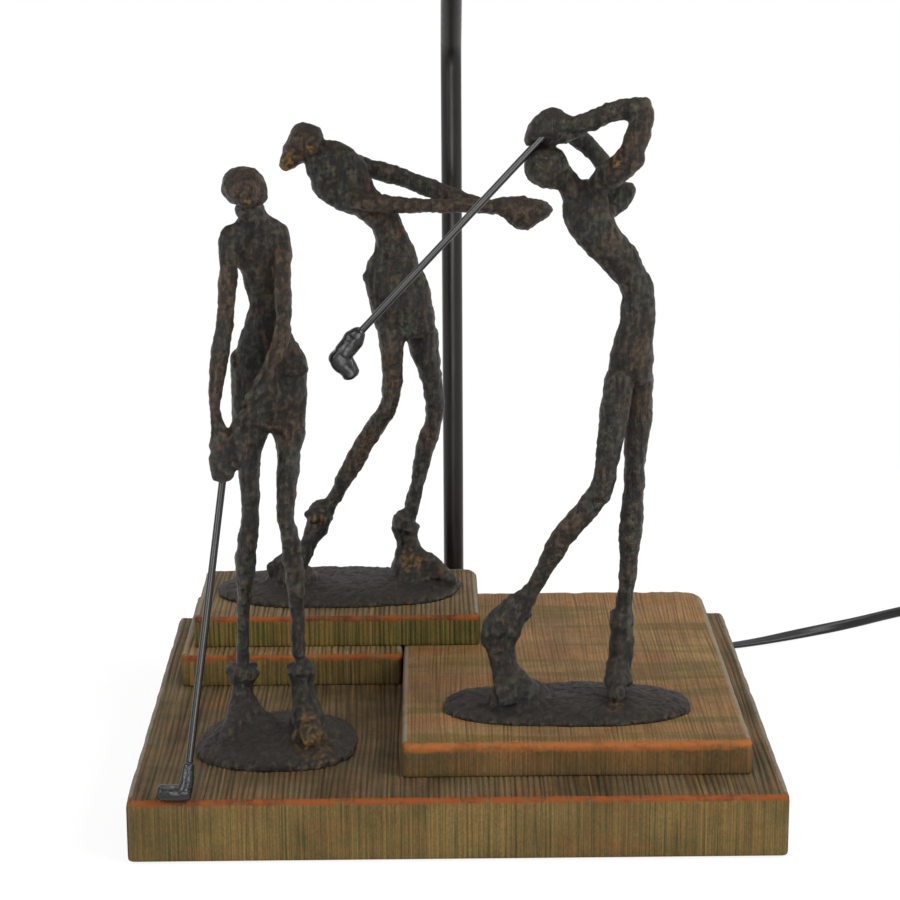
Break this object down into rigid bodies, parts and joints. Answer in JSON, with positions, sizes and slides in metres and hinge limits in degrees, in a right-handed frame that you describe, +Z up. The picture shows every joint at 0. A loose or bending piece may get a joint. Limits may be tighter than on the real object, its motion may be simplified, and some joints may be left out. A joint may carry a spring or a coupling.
{
  "type": "figural table lamp",
  "caption": "Table lamp with cast bronze golfers in swing poses on a stepped board base, a bent pole, turn-knob lampholder, harp and empire shade.",
  "frame": {"origin": "centre of the base's underside, on the table", "axes": "+X to the right and +Y away from a viewer who faces the golfers, +Z up along the pole"},
  "size_m": [0.623, 0.4572, 0.813],
  "materials": {
    "slab_wood": "stained grooved board",
    "board_wood": "stained grooved board",
    "bronze": "dark patinated rough casting",
    "dark_steel": "satin",
    "club_steel": "darkened polished",
    "felt": "felt",
    "cord_black": "semi-gloss",
    "plug_black": "satin moulding",
    "zinc_steel": "plated",
    "brass_plain": "satin",
    "insulator": "pressed",
    "phenolic": "moulded",
    "aluminium_shell": "drawn",
    "shade_linen": "woven linen on backing"
  },
  "bodies": {
    "lamp": {"base_slab": "slab_wood", "front_right_board": "board_wood", "rear_left_board": "board_wood", "top_board": "board_wood", "felt_pad": "felt", "screw_address": "zinc_steel", "screw_follow_through": "zinc_steel", "screw_backswing": "zinc_steel", "golfer_address": "bronze", "golfer_follow_through": "bronze", "golfer_backswing": "bronze", "address_club_shaft": "club_steel", "backswing_club_shaft": "club_steel", "address_club_head": "club_steel", "backswing_club_head": "club_steel", "pole": "dark_steel", "foot_nipple": "zinc_steel", "top_nipple": "zinc_steel", "foot_washer": "zinc_steel", "foot_nut": "zinc_steel", "cord_bushing": "plug_black", "lead_inside": "cord_black", "cord_run": "cord_black", "cord_coil": "cord_black", "cord_tail": "cord_black", "cord_tie": "plug_black", "plug_body": "plug_black", "plug_prong_line": "brass_plain", "plug_prong_neutral": "brass_plain", "lampholder_cap": "brass_plain", "lampholder_shell": "brass_plain", "lampholder_liner": "insulator", "lampholder_core": "phenolic", "screw_shell": "aluminium_shell", "centre_contact": "brass_plain", "harp_saddle": "brass_plain", "harp": "brass_plain"},
    "shade": {"shade_skin": "shade_linen", "shade_bottom_ring": "zinc_steel", "shade_spider": "zinc_steel"},
    "finial": {"finial": "brass_plain"},
    "switch_knob": {"switch_knob": "phenolic"},
    "harp_sleeve_left": {"harp_sleeve_left": "brass_plain"},
    "harp_sleeve_right": {"harp_sleeve_right": "brass_plain"}
  },
  "joints": [
    {"name": "shade_turn", "type": "hinge", "parent": "lamp", "child": "shade", "pos_m": [0.0015, 0.02, 0.7852], "axis": [0, 0, 1], "continuous": true},
    {"name": "finial_turn", "type": "hinge", "parent": "lamp", "child": "finial", "pos_m": [0.0015, 0.02, 0.787], "axis": [0, 0, 1], "continuous": true},
    {"name": "switch_turn", "type": "hinge", "parent": "lamp", "child": "switch_knob", "pos_m": [0.0015, 0.02, 0.5826], "axis": [0, -1, 0], "continuous": true},
    {"name": "harp_sleeve_left_lift", "type": "slide", "parent": "lamp", "child": "harp_sleeve_left", "axis": [0, 0, 1], "range_m": [0, 0.009]},
    {"name": "harp_sleeve_right_lift", "type": "slide", "parent": "lamp", "child": "harp_sleeve_right", "axis": [0, 0, 1], "range_m": [0, 0.009]}
  ]
}
